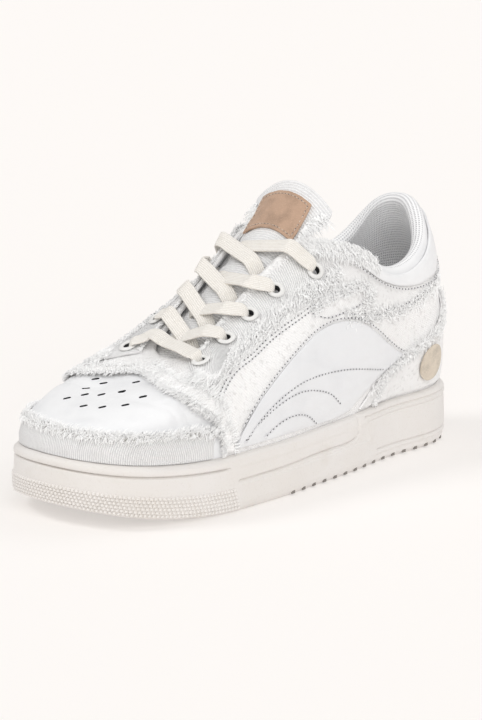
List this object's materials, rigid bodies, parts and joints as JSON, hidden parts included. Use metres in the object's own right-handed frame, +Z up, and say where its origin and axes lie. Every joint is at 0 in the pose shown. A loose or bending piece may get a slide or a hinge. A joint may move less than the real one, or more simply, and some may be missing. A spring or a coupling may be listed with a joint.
{
  "type": "sneaker",
  "caption": "Low left court sneaker of white leather and frayed denim, laced over a padded tongue, on a moulded rubber cupsole.",
  "frame": {"origin": "on the floor under the middle of the shoe's length and width", "axes": "+X towards the wearer's outer side, +Y towards the heel, +Z up; the toe points along -Y"},
  "size_m": [0.1104, 0.28, 0.1465],
  "materials": {
    "sole_rubber": "matte moulded rubber, slightly worn",
    "insole_cloth": "woven lining cloth over foam",
    "upper_leather": "smooth white leather, creased by wear",
    "tongue_cloth": "padded white cloth",
    "label_leather": "bare tan leather with a stitched border",
    "ribbed_denim": "white denim with fine grey ribs and frayed edges",
    "frayed_denim": "fluffy frayed white denim",
    "panel_leather": "smooth white leather with stitched edges",
    "lace": "flat woven cream cotton",
    "eyelet": "satin white enamel"
  },
  "bodies": {
    "root": {"cupsole": "sole_rubber", "insole": "insole_cloth", "upper": "upper_leather", "tongue": "tongue_cloth", "tongue_label": "label_leather", "toe_band": "ribbed_denim", "vamp_fringe": "frayed_denim", "eyestay_outer": "ribbed_denim", "eyestay_inner": "ribbed_denim", "side_panel_outer": "panel_leather", "side_panel_inner": "panel_leather", "heel_counter": "ribbed_denim", "collar_band": "panel_leather", "side_disc": "label_leather", "lace_bar": "lace", "lace_crossing_1": "lace", "lace_crossing_2": "lace", "lace_crossing_3": "lace", "lace_crossing_4": "lace", "eyelet_outer_1": "eyelet", "eyelet_outer_2": "eyelet", "eyelet_outer_3": "eyelet", "eyelet_outer_4": "eyelet", "eyelet_outer_5": "eyelet", "eyelet_inner_1": "eyelet", "eyelet_inner_2": "eyelet", "eyelet_inner_3": "eyelet", "eyelet_inner_4": "eyelet", "eyelet_inner_5": "eyelet"}
  },
  "joints": []
}
